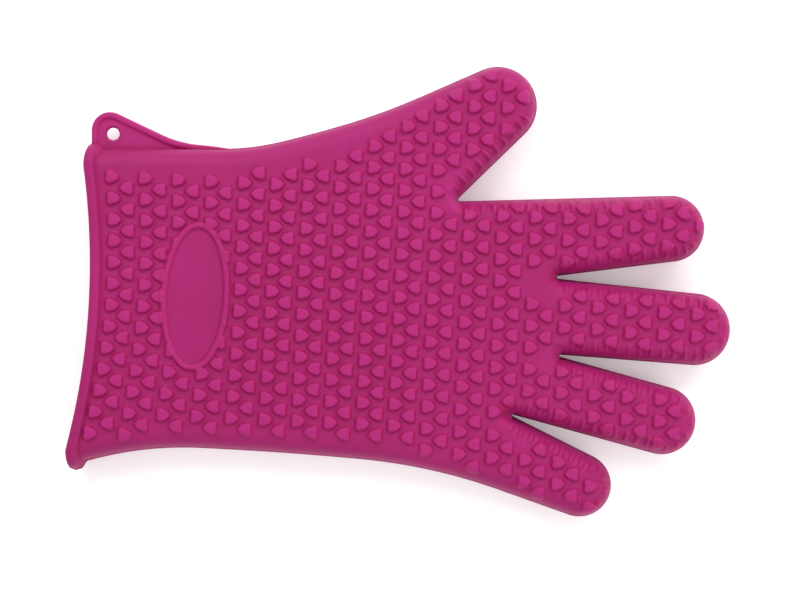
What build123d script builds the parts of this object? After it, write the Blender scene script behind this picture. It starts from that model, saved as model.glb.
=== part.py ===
from build123d import *

import os
from collections import namedtuple
from math import atan2, cos, degrees, hypot, radians, sin

os.makedirs("parts", exist_ok=True)

# A five-finger silicone oven glove that lies flat: +X to the fingers, +Y to the thumb, +Z up.
# The origin is at the middle of the bottom of its box. All sizes are in millimetres.

# ---- the skin ----
wall = 1.8
half_thick = 10.0  # half the thickness of the empty glove, without its studs
edge_round = 5.0
stud_high = 1.6
mid_z = stud_high + half_thick
front_z = mid_z + half_thick
back_z = mid_z - half_thick
crotch_rounds = (0.8, 0.6, 0.4, 0.3)  # of the corners between two digits, from the thumb on
beyond = 60.0  # longer than any cut has to reach
plenty = 6 * beyond  # wider than the whole glove

# ---- the cuff ----
cuff_centre_x = -407.0
cuff_centre_y = 11.0
cuff_radius = 285.0  # the cuff's edge is a shallow hollow arc
bead_wide = 4.5
bead_proud = 1.4
sleeve_end_x = -142.0  # the sleeve is drawn past its edge and then cut
sleeve_cut = (2.0, 26.0)  # the stretch of sleeve that the beaded edge is cut from

# ---- the hand's two long sides, as the ends of tangent arcs from the digits to the sleeve ----
top_side = [(-22.9, 66.7), (-47.1, 60.3), (-72.0, 57.6), (sleeve_end_x, 57.2)]
low_side = [(-14.8, -68.0), (-79.5, -63.5), (-119.9, -67.4), (sleeve_end_x, -74.3)]
thumb_straight = 27.0  # how far the thumb's outer side runs straight from its round end
little_straight = 30.0

# ---- the wrist fold ----
wrist_x = -55.0
wrist_half_zone = 9.0

# ---- the digits ----
# tip is the centre of the round end, upper and lower are the angles of its two sides, and
# root and middle are how far behind that centre the two hinge lines are.
Digit = namedtuple("Digit", "name tip radius upper lower root middle")
digits = [
    Digit("thumb", (41.0, 74.9), 15.8, 23.6, 44.1, 26.0, 5.0),
    Digit("index", (111.1, 25.2), 13.35, 1.5, 7.0, 39.3, 12.3),
    Digit("middle", (120.4, -15.5), 14.5, -6.1, -4.5, 47.0, 16.0),
    Digit("ring", (107.2, -52.3), 13.75, -15.6, -15.4, 40.5, 13.5),
    Digit("little", (73.9, -78.4), 12.8, -26.6, -19.6, 27.3, 7.3),
]
digit_half_zone = 7.0  # half the length of skin that bends at a digit's hinge

# ---- the studs ----
stud_pitch_x = 13.18  # between studs that point the same way
stud_pitch_y = 8.5
stud_gap_x = 5.7  # from a stud that points right to the next one that points left
stud_tilt = -2.7
stud_tip = (2.25, 0.75)  # how far along the stud this round is, and its radius
stud_waist = (0.25, 2.2)
stud_lobe = (-1.3, 1.5)
stud_lobe_y = 1.1
stud_notch = (-4.1, 1.7)
stud_reach = 3.05  # from a stud's centre to its furthest corner
first_stud = (-55.4, 29.9)  # the centre of one stud that points left
grid_columns = range(-8, 17)  # more than enough to cover the glove
grid_rows = range(-18, 12)
closer_by = 0.031  # across the palm the columns stand closer together by this share
closer_length = 66.0
fan = 0.0003  # how much the rows fan out towards the fingers
fan_middle_y = 8.0
bow_high = 2.7  # how far the columns beside the cuff bow with its edge
bow_middle_y = 6.0
bow_spread = 587.0
bow_end_x = -43.0
bow_length = 75.0
dip_top_y = -40.0  # below this the rows stand a little further apart
dip_share = 0.076
dip_most = 1.6
dip_length = 40.0  # the spread grows over this length of the palm
dip_slant = 0.35  # and it starts lower past this x, so that the ring finger is clear of it
dip_slant_x = 50.0
# Where the studs of a finger leave the grid: x, and how far they stand towards +Y
index_slip = [(90.0, 0.0), (92.0, -2.1), (105.0, -2.1), (107.0, -0.45)]
middle_slip = [(80.0, 0.0), (90.0, -0.6)]

# ---- how near the outline the centre of a stud may come ----
flank_margin = 3.7
thumb_flank_margin = 5.5
ring_flank_margin = 4.4
bead_clear = 0.35  # the least space between a stud and the bead
oval_clear = 0.4  # and between a stud and the oval frame
web_bare = (7.65, 6.8, 6.8, 3.5)  # the smooth patch round each corner between two digits
top_margin = [  # x and margin
    (-112.0, 12.0),
    (-100.0, 12.95),
    (-66.0, 12.95),
    (-60.0, 10.5),
    (-25.0, 10.5),
    (30.0, 4.0),
]
low_margin = [(-105.0, 7.5), (-95.0, 9.0), (-20.0, 9.0), (50.0, 5.7)]
flat_from = 6.2  # nearer the outline than this a stud is one piece with the skin
sunk = 1.7  # how deep ribs and such studs reach into the skin, less than its thickness

# ---- the ribs across the flanks that face another digit ----
rib_pitch = 4.5
rib_wide = 1.3
rib_from = 2.0  # from the outline
rib_to = 6.0
rib_high = 0.3  # over the flat of the skin
rib_clear_of_web = 5.0
rib_clear_of_stud = 3.75

# ---- the oval frame ----
oval_centre = (-79.9, -2.2)
oval_half_long = 29.7
oval_half_wide = 13.9
oval_band = 2.5
oval_tilt = -3.4
oval_high = 1.5

# ---- the hanging tab ----
tab_half_thick = 1.5
tab_rim_high = 0.7
tab_rim_wide = 2.8
tab_corner_round = 7.2
tab_crest_round = 4.0
tab_left_x = -123.4
tab_base_y = 50.0  # inside the hand, where the body is cut away from the tab
tab_crest = (-115.0, 72.4)
tab_slope_end = (-95.0, 63.3)
tab_far_end = (-64.0, 57.4)
hole_centre = (-114.5, 63.5)
hole_radius = 2.5


def heading(angle):
    """The unit vector at an angle in the plane of the glove."""
    return Vector(cos(radians(angle)), sin(radians(angle)))


def crossing(point_a, along_a, point_b, along_b):
    """The point where two lines of the plane cross."""
    between = point_b - point_a
    scale = along_a.X * along_b.Y - along_a.Y * along_b.X
    step = (between.X * along_b.Y - between.Y * along_b.X) / scale
    return point_a + along_a * step


def side(digit, sign):
    """Where a digit's upper (+1) or lower (-1) side leaves its round end, and its heading."""
    angle = digit.upper if sign > 0 else digit.lower
    along = heading(angle)
    outwards = Vector(-along.Y, along.X) * sign
    return Vector(*digit.tip) + outwards * digit.radius, along


def crotch(above, below):
    """The sharp corner between two neighbouring digits."""
    return crossing(*side(above, -1), *side(below, 1))


def axis_angle(digit):
    return (digit.upper + digit.lower) / 2


def border(number, sign):
    """A line that keeps the space beside a digit from its neighbour: a point and a heading."""
    digit = digits[number]
    neighbour = number - sign
    if 0 <= neighbour < len(digits):
        pair = (digits[min(number, neighbour)], digits[max(number, neighbour)])
        start = side(pair[0], -1)
        end = side(pair[1], 1)
        return crotch(*pair), (start[1] + end[1]).normalized()
    point, along = side(digit, sign)
    clear = Vector(-along.Y, along.X) * sign * stud_reach * 2
    return point + clear, along


def digit_cell(number, far, near):
    """The four corners of the plan space that holds a digit between two distances from its tip."""
    digit = digits[number]
    along = heading(axis_angle(digit))
    across = Vector(-along.Y, along.X)
    corners = []
    for distance, signs in ((far, (-1, 1)), (near, (1, -1))):
        station = Vector(*digit.tip) - along * distance
        for sign in signs:
            corners.append(crossing(station, across, *border(number, sign)))
    return [(corner.X, corner.Y) for corner in corners]


# ---- the outline of the glove in plan ----
thumb_start, thumb_along = side(digits[0], 1)
little_start, little_along = side(digits[-1], -1)
top_join = thumb_start - thumb_along * thumb_straight
low_join = little_start - little_along * little_straight


def arcs_to_sleeve(start, along, ends):
    """A chain of arcs from a digit to the sleeve's end, each tangent to the one before."""
    for end in ends:
        arc = TangentArc(start, end, tangent=along)
        start, along = arc @ 1, arc % 1


with BuildLine() as top_line:
    Line(thumb_start, top_join)
    arcs_to_sleeve(top_join, thumb_along * -1, top_side)

with BuildLine() as low_line:
    Line(little_start, low_join)
    arcs_to_sleeve(low_join, little_along * -1, low_side)

with BuildSketch() as outline:
    with BuildLine():
        for number in reversed(range(len(digits))):
            digit = digits[number]
            low_end, _ = side(digit, -1)
            top_end, _ = side(digit, 1)
            tip_end = Vector(*digit.tip) + heading(axis_angle(digit)) * digit.radius
            ThreePointArc(low_end, tip_end, top_end)
            if number > 0:
                corner = crotch(digits[number - 1], digit)
                next_end, _ = side(digits[number - 1], -1)
                Line(top_end, corner)
                Line(corner, next_end)
        add(top_line.line)
        Line(top_side[-1], low_side[-1])
        add(low_line.line)
    make_face()
    for number, radius in enumerate(crotch_rounds):
        corner = crotch(digits[number], digits[number + 1])
        sharp = outline.vertices().sort_by(lambda v: (Vector(v.X, v.Y) - corner).length)[0]
        fillet(sharp, radius)


def rims(part, half):
    """The top and bottom edges of a flat body, but for those at a straight cut end."""
    level = part.edges().filter_by(lambda e: abs(abs(e.center().Z - mid_z) - half) < 0.001)
    flat = level.filter_by(lambda e: e.bounding_box().size.Z < 0.001)
    return flat.filter_by(lambda e: e.bounding_box().size.X > 0.01)


# ---- the body that the skin is cut from, and the hollow inside it ----
with BuildPart() as full_body:
    with BuildSketch(Plane.XY.offset(back_z)):
        add(outline.sketch)
    extrude(amount=2 * half_thick)
    fillet(rims(full_body, half_thick), edge_round)

with BuildPart() as hollow:
    with BuildSketch(Plane.XY.offset(back_z + wall)):
        offset(outline.sketch, amount=-wall)
    extrude(amount=2 * (half_thick - wall))
    fillet(rims(hollow, half_thick - wall), edge_round - wall)

# The cuff's beaded edge is cut from a sleeve that is a little larger all round.
with BuildPart() as swollen_sleeve:
    with BuildSketch(Plane.XY.offset(back_z - bead_proud)):
        offset(outline.sketch, amount=bead_proud)
        with Locations((sleeve_end_x + sum(sleeve_cut) / 2, 0)):
            Rectangle(sleeve_cut[1] - sleeve_cut[0], plenty, mode=Mode.INTERSECT)
    extrude(amount=2 * (half_thick + bead_proud))
    fillet(rims(swollen_sleeve, half_thick + bead_proud), edge_round + bead_proud)


def disc(radius):
    """The round space that hollows the cuff's edge out, as a tall cylinder."""
    with BuildPart() as cutter:
        with BuildSketch(Plane.XY.offset(-beyond)):
            with Locations((cuff_centre_x, cuff_centre_y)):
                Circle(radius)
        extrude(amount=3 * beyond)
    return cutter.part


def slab(low_x, high_x):
    """Everything between two lines across the glove."""
    with BuildPart() as space:
        with BuildSketch(Plane.XY.offset(-beyond)):
            with Locations(((low_x + high_x) / 2, 0)):
                Rectangle(high_x - low_x, plenty)
        extrude(amount=3 * beyond)
    return space.part


def cell(number, far, near):
    """The tall space that holds a digit between two distances from its tip's centre."""
    with BuildPart() as space:
        with BuildSketch(Plane.XY.offset(-beyond)):
            Polygon(*digit_cell(number, far, near), align=None)
        extrude(amount=3 * beyond)
    return space.part


# ---- the studs: a grid of heart-like studs, every other column pointing the other way ----
with BuildSketch() as plain_stud:
    with Locations((stud_tip[0], 0)):
        Circle(stud_tip[1])
    with Locations((stud_waist[0], 0)):
        Circle(stud_waist[1])
    with Locations((stud_lobe[0], stud_lobe_y), (stud_lobe[0], -stud_lobe_y)):
        Circle(stud_lobe[1])
    make_hull()

with BuildSketch() as heart:
    add(plain_stud.sketch)
    with Locations((stud_notch[0], 0)):
        Circle(stud_notch[1], mode=Mode.SUBTRACT)


def stud_shape(on_front):
    """Hearts on the front. Those on the back, which the glove lies on, have no notch."""
    return heart.sketch if on_front else plain_stud.sketch


def in_oval(x, y, margin):
    """Whether a place is inside the oval frame, or within a margin of it."""
    dx = x - oval_centre[0]
    dy = y - oval_centre[1]
    turn = radians(oval_tilt)
    across = (dx * cos(turn) + dy * sin(turn)) / (oval_half_wide + margin)
    along = (dy * cos(turn) - dx * sin(turn)) / (oval_half_long + margin)
    return hypot(across, along) < 1


def between(x, table):
    """The value at x on a chain of straight lines through the places of a table."""
    if x <= table[0][0]:
        return table[0][1]
    for (low_x, low), (high_x, high) in zip(table, table[1:]):
        if x <= high_x:
            return low + (high - low) * (x - low_x) / (high_x - low_x)
    return table[-1][1]


def within(place, corners):
    """Whether a place is inside a convex cell of the plan."""
    signs = []
    for start, end in zip(corners, corners[1:] + corners[:1]):
        side_of = (end[0] - start[0]) * (place[1] - start[1])
        side_of -= (end[1] - start[1]) * (place[0] - start[0])
        signs.append(side_of > 0)
    return all(signs) or not any(signs)


def dip(x, y):
    """How much lower the rows run towards the little finger."""
    below = dip_top_y - y - dip_slant * max(x - dip_slant_x, 0)
    share = min(max(x / dip_length, 0), 1)
    return min(dip_share * max(below, 0) * share, dip_most)


index_cell = digit_cell(1, digits[1].root, -beyond)
middle_cell = digit_cell(2, digits[2].root, -beyond)
ring_cell = digit_cell(3, digits[3].root, -beyond)


def grid_place(u, v):
    """Where a place of the stud grid lies on the glove, after its stretch, fan and bow."""
    tilt = radians(stud_tilt)
    u = u - closer_by * min(max(u, 0), closer_length)
    x = first_stud[0] + u * cos(tilt) - v * sin(tilt)
    y = first_stud[1] + u * sin(tilt) + v * cos(tilt)
    y = y + fan * max(x, 0) * (y - fan_middle_y)
    y = y - dip(x, y)
    if within((x, y), index_cell):
        y = y + between(x, index_slip)
    if within((x, y), middle_cell):
        y = y + between(x, middle_slip)
    near_cuff = min(max((bow_end_x - x) / bow_length, 0), 1)
    return x + (bow_high - (y - bow_middle_y) ** 2 / bow_spread) * near_cuff, y


def past_low_side(digit, x, y):
    """How far a place is inside the line of a digit's lower side."""
    start, along = side(digit, -1)
    return (Vector(x, y) - start).dot(Vector(-along.Y, along.X))


def has_room(x, y):
    """Whether a stud may stand here: clear of the bead, the outline and the webs."""
    point = Vertex(x, y, 0)
    if hypot(x - cuff_centre_x, y - cuff_centre_y) - cuff_radius < bead_wide + stud_reach + bead_clear:
        return False
    if not any(face.is_inside(Vector(x, y, 0)) for face in outline.sketch.faces()):
        return False
    if outline.sketch.wire().distance_to(point) < flank_margin:
        return False
    if top_line.line.distance_to(point) < between(x, top_margin):
        return False
    if low_line.line.distance_to(point) < between(x, low_margin):
        return False
    if x > crotch(digits[0], digits[1]).X and 0 < past_low_side(digits[0], x, y) < thumb_flank_margin:
        return False
    if within((x, y), ring_cell) and past_low_side(digits[3], x, y) < ring_flank_margin:
        return False
    webs = [crotch(digits[n], digits[n + 1]) for n in range(len(digits) - 1)]
    return all((Vector(x, y) - web).length > bare for web, bare in zip(webs, web_bare))


def stud_grid():
    """Each stud's place and the way it points, over the whole glove."""
    places = []
    for column in grid_columns:
        for row in grid_rows:
            for shift_x, shift_y, turn in ((0, 0, 180), (-stud_gap_x, -stud_pitch_y / 2, 0)):
                x, y = grid_place(column * stud_pitch_x + shift_x, row * stud_pitch_y + shift_y)
                if has_room(x, y):
                    places.append((x, y, turn + stud_tilt))
    return places


def raised(shape, places, on_front, high, deep=0.0):
    """Copies of a shape that stand on the front or the back, and reach this deep into it."""
    level = front_z - deep if on_front else back_z + deep
    with BuildPart() as group:
        with BuildSketch(Plane.XY.offset(level)):
            with Locations([Location((x, y, 0), (0, 0, turn)) for x, y, turn in places]):
                add(shape)
        extrude(amount=high + deep if on_front else -high - deep)
    return group.part


def studs_at(places, on_front):
    """Studs on the flat of the front or the back, as one part of separate solids."""
    return raised(stud_shape(on_front), places, on_front, stud_high)


every_place = stud_grid()
edge_places = [
    place
    for place in every_place
    if outline.sketch.wire().distance_to(Vertex(place[0], place[1], 0)) < flat_from
]
all_places = [place for place in every_place if place not in edge_places]
front_places = [place for place in all_places if not in_oval(place[0], place[1], stud_reach + oval_clear)]


def flank_ribs():
    """The middle of each rib and its angle, along every side that faces another digit."""
    places = []
    half = (rib_to - rib_from) / 2
    for above, below in zip(digits, digits[1:]):
        corner = crotch(above, below)
        for digit, sign in ((above, -1), (below, 1)):
            start, along = side(digit, sign)
            inwards = Vector(-along.Y, along.X) * -sign
            turn = degrees(atan2(inwards.Y, inwards.X))
            count = int(((start - corner).length - rib_clear_of_web) / rib_pitch) + 1
            for step in range(count):
                middle = start - along * rib_pitch * step + inwards * (rib_from + half)
                clear = True
                for x, y, _ in every_place:
                    apart = Vector(x, y) - middle
                    beyond_end = max(abs(apart.dot(inwards)) - half, 0)
                    if hypot(beyond_end, apart.dot(along)) < rib_clear_of_stud:
                        clear = False
                if clear:
                    places.append((middle.X, middle.Y, turn))
    return places


with BuildSketch() as rib:
    Rectangle(rib_to - rib_from, rib_wide)

# ---- the skin, with the ribs and the studs on its rounded flanks ----
rib_places = flank_ribs()
with BuildPart() as skin:
    add(full_body.part)
    add(hollow.part, mode=Mode.SUBTRACT)
    for on_front in (True, False):
        add(raised(rib.sketch, rib_places, on_front, rib_high, sunk))
        add(raised(stud_shape(on_front), edge_places, on_front, stud_high, sunk))


def far_from_lines(place, number, lines):
    """Whether a stud stands clear of the lines across a digit at these distances."""
    digit = digits[number]
    along = heading(axis_angle(digit))
    behind = (Vector(*digit.tip) - Vector(place[0], place[1])).dot(along)
    return all(abs(behind - line) > stud_reach for line in lines)


def write(part, name):
    part.label = name
    export_step(part, "parts/" + name + ".step")


def write_studs(places, name):
    """One node for the front studs and one for the back studs of a region."""
    front = [place for place in places if place in front_places]
    back = places
    for on_front, group, word in ((True, front, "front"), (False, back, "back")):
        if group:
            write(studs_at(group, on_front), name + "_" + word + "_studs")


def bend_band(space, places):
    """A stretch of skin that bends at a hinge, with the studs that stand on it."""
    with BuildPart() as band:
        add(skin.part)
        add(space, mode=Mode.INTERSECT)
        for on_front in (True, False):
            group = [place for place in places if place in front_places or not on_front]
            if group:
                add(studs_at(group, on_front))
    return band.part


# ---- the cuff: its skin, its beaded edge and its studs ----
wrist_low_x = wrist_x - wrist_half_zone
wrist_high_x = wrist_x + wrist_half_zone
bead_inner = disc(cuff_radius + bead_wide)

with BuildPart() as cuff_shell:
    add(skin.part)
    add(slab(sleeve_end_x, wrist_low_x), mode=Mode.INTERSECT)
    add(bead_inner, mode=Mode.SUBTRACT)
write(cuff_shell.part, "cuff_shell")

with BuildPart() as cuff_bead:
    add(swollen_sleeve.part)
    add(hollow.part, mode=Mode.SUBTRACT)
    add(bead_inner, mode=Mode.INTERSECT)
    add(disc(cuff_radius), mode=Mode.SUBTRACT)
write(cuff_bead.part, "cuff_bead")

cuff_places = [place for place in all_places if place[0] < wrist_low_x - stud_reach]
write_studs(cuff_places, "cuff")

# ---- the oval frame on the front of the cuff ----
with BuildPart() as label_frame:
    with BuildSketch(Plane.XY.offset(front_z)):
        with Locations(Location((*oval_centre, 0), (0, 0, oval_tilt))):
            Ellipse(oval_half_wide, oval_half_long)
            Ellipse(oval_half_wide - oval_band, oval_half_long - oval_band, mode=Mode.SUBTRACT)
    extrude(amount=oval_high)
write(label_frame.part, "label_frame")

# ---- the hanging tab, a web in the parting plane with a raised rim round its outer edge ----
with BuildSketch() as tab_outline:
    with BuildLine():
        slope = Line(tab_crest, tab_slope_end)
        TangentArc(tab_slope_end, tab_far_end, tangent=slope % 1)
        Polyline(
            tab_far_end,
            (tab_far_end[0], tab_base_y),
            (tab_left_x, tab_base_y),
            (tab_left_x, tab_crest[1]),
            tab_crest,
        )
    make_face()
    corners = tab_outline.vertices().group_by(Axis.Y)[-1].sort_by(Axis.X)
    fillet(corners[0], tab_corner_round)
    corners = tab_outline.vertices().group_by(Axis.Y)[-1].sort_by(Axis.X)
    fillet(corners[-1], tab_crest_round)

with BuildPart() as hanging_tab:
    with BuildSketch(Plane.XY.offset(mid_z - tab_half_thick)):
        add(tab_outline.sketch)
    extrude(amount=2 * tab_half_thick)
    with BuildSketch(Plane.XY.offset(mid_z - tab_half_thick - tab_rim_high)):
        add(tab_outline.sketch)
        offset(tab_outline.sketch, amount=-tab_rim_wide, mode=Mode.SUBTRACT)
    extrude(amount=2 * (tab_half_thick + tab_rim_high))
    add(full_body.part, mode=Mode.SUBTRACT)
    add(cuff_bead.part, mode=Mode.SUBTRACT)
    with Locations((*hole_centre, mid_z)):
        Hole(hole_radius)
write(hanging_tab.part, "hanging_tab")

# ---- the wrist fold and the palm ----
wrist_places = [
    place
    for place in all_places
    if wrist_low_x - stud_reach <= place[0] <= wrist_high_x + stud_reach
]
write(bend_band(slab(wrist_low_x, wrist_high_x), wrist_places), "wrist_fold")

with BuildPart() as palm_shell:
    add(skin.part)
    add(slab(wrist_high_x, 3 * beyond), mode=Mode.INTERSECT)
    for number, digit in enumerate(digits):
        add(cell(number, digit.root + digit_half_zone, -beyond), mode=Mode.SUBTRACT)

# The palm's skin is two nodes that meet at the parting plane of its mould.
for word, height in (("front", beyond), ("back", -beyond)):
    with BuildPart() as half_shell:
        add(palm_shell.part)
        with BuildSketch(Plane.XY.offset(mid_z)):
            Rectangle(plenty, plenty)
        extrude(amount=height, mode=Mode.INTERSECT)
    write(half_shell.part, "palm_" + word + "_shell")

digit_places = []
for number, digit in enumerate(digits):
    corners = digit_cell(number, digit.root + digit_half_zone + stud_reach, -beyond)
    digit_places.append([place for place in all_places if within(place, corners)])

taken = {place for places in digit_places for place in places}
palm_places = [
    place
    for place in all_places
    if place[0] > wrist_high_x + stud_reach and place not in taken
]
write_studs(palm_places, "palm")

# ---- the digits: a bending root, a stiff base, a bending middle and a stiff tip each ----
for number, digit in enumerate(digits):
    root_far = digit.root + digit_half_zone
    root_near = digit.root - digit_half_zone
    middle_far = digit.middle + digit_half_zone
    middle_near = digit.middle - digit_half_zone
    stations = {
        "root_fold": (root_far, root_near),
        "base": (root_near, middle_far),
        "knuckle_fold": (middle_far, middle_near),
        "tip": (middle_near, -beyond),
    }
    lines = (root_far, root_near, middle_far, middle_near)
    for stretch, (far, near) in stations.items():
        name = digit.name + "_" + stretch
        if stretch.endswith("fold"):
            corners = digit_cell(number, far + stud_reach, near - stud_reach)
            places = [place for place in digit_places[number] if within(place, corners)]
            write(bend_band(cell(number, far, near), places), name)
        else:
            corners = digit_cell(number, far, near)
            places = [
                place
                for place in digit_places[number]
                if within(place, corners) and far_from_lines(place, number, lines)
            ]
            with BuildPart() as shell:
                add(skin.part)
                add(cell(number, far, near), mode=Mode.INTERSECT)
            write(shell.part, name + "_shell")
            write_studs(places, name)
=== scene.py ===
from collections import namedtuple
from math import atan2, cos, pi, radians, sin, sqrt, tan

import bpy
import numpy as np
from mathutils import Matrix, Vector
from mathutils.geometry import delaunay_2d_cdt
from mathutils.kdtree import KDTree


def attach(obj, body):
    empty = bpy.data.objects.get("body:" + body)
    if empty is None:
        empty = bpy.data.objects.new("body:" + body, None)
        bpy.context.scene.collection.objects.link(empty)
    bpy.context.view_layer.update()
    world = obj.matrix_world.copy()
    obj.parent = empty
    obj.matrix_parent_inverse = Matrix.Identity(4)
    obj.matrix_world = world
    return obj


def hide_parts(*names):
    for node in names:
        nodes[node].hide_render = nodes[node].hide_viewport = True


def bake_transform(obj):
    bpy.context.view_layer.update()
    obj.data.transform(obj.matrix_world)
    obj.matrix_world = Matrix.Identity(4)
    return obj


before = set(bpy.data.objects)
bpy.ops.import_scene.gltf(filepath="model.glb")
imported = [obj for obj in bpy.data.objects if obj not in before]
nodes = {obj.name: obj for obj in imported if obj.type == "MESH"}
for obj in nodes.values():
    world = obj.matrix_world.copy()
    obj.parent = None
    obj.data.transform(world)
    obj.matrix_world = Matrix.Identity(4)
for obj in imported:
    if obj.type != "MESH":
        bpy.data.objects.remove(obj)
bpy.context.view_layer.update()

# Plan sizes are in millimetres, as in the CAD model, and meshes are made in metres.
MM = 0.001

# ---- heights ----
STUD_HIGH = 1.6
HALF_THICK = 10.0
MID_Z = STUD_HIGH + HALF_THICK
WALL = 1.8
ROLL_WIDE = 8.2        # how far in from the outline the sides roll over
ROLL_POWER = 2.2
FLANGE_WIDE = 0.6      # the thin parting flange that runs round the outline
FLANGE_HALF = 0.8
CROWN_HIGH = 2.4       # how much the palm swells on its upper face

# ---- the cuff ----
CUFF_CENTRE = (-407.0, 11.0)
CUFF_RADIUS = 285.0
CUFF_CORNER = 3.8
CUFF_CORNER_LONG = 8.0
BEAD_WIDE = 4.5
BEAD_HIGH = 1.4
BEAD_SIDE = 2.4        # how far it stands out past the sides of the cuff
BEAD_SIDE_FADE = 2.6
SLEEVE_END_X = -145.0

# ---- the digits: centre of the round end, its radius, the angles of the upper and lower
# sides, and how far behind the centre the root and knuckle hinges are ----
Digit = namedtuple("Digit", "name tip radius upper lower root middle")
DIGITS = [
    Digit("thumb", (41.0, 74.9), 15.8, 23.6, 44.1, 26.0, 5.0),
    Digit("index", (111.1, 25.2), 13.35, 1.5, 7.0, 39.3, 12.3),
    Digit("middle", (120.4, -15.5), 14.5, -6.1, -4.5, 47.0, 16.0),
    Digit("ring", (107.2, -52.3), 13.75, -15.6, -15.4, 40.5, 13.5),
    Digit("little", (73.9, -78.4), 12.8, -26.6, -19.6, 27.3, 7.3),
]
DIGIT_HALF_ZONE = 7.0
CROTCH_ROUNDS = (0.8, 0.6, 0.4, 0.3)   # of the corners between two digits, from the thumb on
THUMB_STRAIGHT = 27.0
LITTLE_STRAIGHT = 30.0
TOP_SIDE = [(-22.9, 66.7), (-47.1, 60.3), (-72.0, 57.6), (SLEEVE_END_X, 57.2)]
LOW_SIDE = [(-14.8, -68.0), (-79.5, -63.5), (-119.9, -67.4), (SLEEVE_END_X, -75.4)]

# ---- the studs ----
STUD_PITCH_X = 13.18
STUD_PITCH_Y = 8.5
STUD_GAP_X = 5.7
STUD_TILT = radians(-2.7)
FIRST_STUD = (-55.4, 29.9)
CLOSER_BY = 0.031      # across the palm the columns stand closer together by this share
CLOSER_LENGTH = 66.0
FAN = 0.0003           # how much the rows fan out towards the fingers
FAN_MIDDLE_Y = 8.0
BOW_HIGH = 2.7         # how far the columns beside the cuff bow with its edge
BOW_MIDDLE_Y = 6.0
BOW_SPREAD = 587.0
BOW_END_X = -43.0
BOW_LENGTH = 75.0
DIP_TOP_Y = -40.0      # below this the rows stand a little further apart
DIP_SHARE = 0.076
DIP_MOST = 1.6
DIP_LENGTH = 40.0
DIP_SLANT = 0.35
DIP_SLANT_X = 50.0
# Where the studs of a finger leave the grid: x, and how far they stand towards +Y
SLIPS = {1: ((90.0, 92.0, 105.0, 107.0), (0.0, -2.1, -2.1, -0.45)), 2: ((80.0, 90.0), (0.0, -0.6))}
# How near the outline a stud's centre may come: on each digit's inner flanks, and on the two
# long sides at the given x
FLANK_MARGIN = {"thumb": (5.5, 5.5), "index": (3.75, 2.8), "middle": (3.75, 2.3),
                "ring": (4.4, 3.75), "little": (4.0, 5.3)}   # lower flank, upper flank
TOP_MARGIN = ((-112.0, -100.0, -66.0, -60.0, -25.0, 30.0), (12.0, 12.95, 12.95, 11.2, 11.2, 4.0))
LOW_MARGIN = ((-105.0, -95.0, -20.0, 50.0), (7.5, 9.0, 9.0, 4.2))
WEB_BARE = {"thumb": 7.65, "index": 6.8, "middle": 6.8, "ring": 3.5}

# ---- the oval frame ----
OVAL_CENTRE = (-79.9, -2.2)
OVAL_HALF = (12.6, 28.4)
OVAL_TILT = radians(-3.4)
OVAL_BAND = 2.6
OVAL_HIGH = 1.3

# ---- the ribs on the flanks ----
RIB_PITCH = 4.5
RIB_HIGH = 1.05
RIB_HALF = 0.5
RIB_FROM = 1.9
RIB_TO = 6.6
RIB_ROUND_END = radians(20)   # how far the ribs go on round the end of a digit
EDGE_BAND = 1.7
EDGE_BAND_HIGH = 0.25
BUMP_ANGLES = (-46.0, -17.0, 15.0, 44.0)
BUMP_IN = 3.2
BUMP_ROUND = 1.3
BUMP_HIGH = 1.1


# ======================= the outline =======================

def heading(angle):
    return np.array([cos(radians(angle)), sin(radians(angle))])


def left_of(along):
    return np.array([-along[1], along[0]])


def crossing(p, u, q, v):
    step = ((q - p)[0] * v[1] - (q - p)[1] * v[0]) / (u[0] * v[1] - u[1] * v[0])
    return p + u * step


def side(digit, sign):
    """Where a digit's upper (+1) or lower (-1) side leaves its round end, and its heading."""
    along = heading(digit.upper if sign > 0 else digit.lower)
    return np.array(digit.tip) + left_of(along) * sign * digit.radius, along


def axis_angle(digit):
    return (digit.upper + digit.lower) / 2


def behind_tip(digit, points):
    return (np.array(digit.tip) - points) @ heading(axis_angle(digit))


def beside_axis(digit, points):
    return (points - np.array(digit.tip)) @ left_of(heading(axis_angle(digit)))


def gap_lines():
    """The middle line of the space on each side of each digit: a point and a heading."""
    lines = {}
    for number in range(len(DIGITS) - 1):
        p, u = side(DIGITS[number], -1)
        q, v = side(DIGITS[number + 1], 1)
        middle = (u + v) / np.linalg.norm(u + v)
        lines[number] = (crossing(p, u, q, v), middle)
    return lines


GAPS = gap_lines()


def belongs(number, points):
    """Whether points lie between the middle lines of the spaces beside a digit."""
    ok = np.ones(len(points), bool)
    if number in GAPS:
        start, along_gap = GAPS[number]
        ok &= (points - start) @ left_of(along_gap) > 0
    if number - 1 in GAPS:
        start, along_gap = GAPS[number - 1]
        ok &= (points - start) @ left_of(along_gap) < 0
    return ok


def line_points(start, end, step):
    count = max(1, int(round(np.linalg.norm(np.subtract(end, start)) / step)))
    share = np.linspace(0, 1, count + 1)[:, None]
    return np.asarray(start) * (1 - share) + np.asarray(end) * share


def arc_points(centre, radius, start, turn, step):
    """Points on an arc from the angle start, turning by turn, both in radians."""
    count = max(3, int(round(abs(turn) * radius / step)))
    angles = start + turn * np.linspace(0, 1, count + 1)
    return np.asarray(centre) + radius * np.stack([np.cos(angles), np.sin(angles)], 1)


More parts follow.
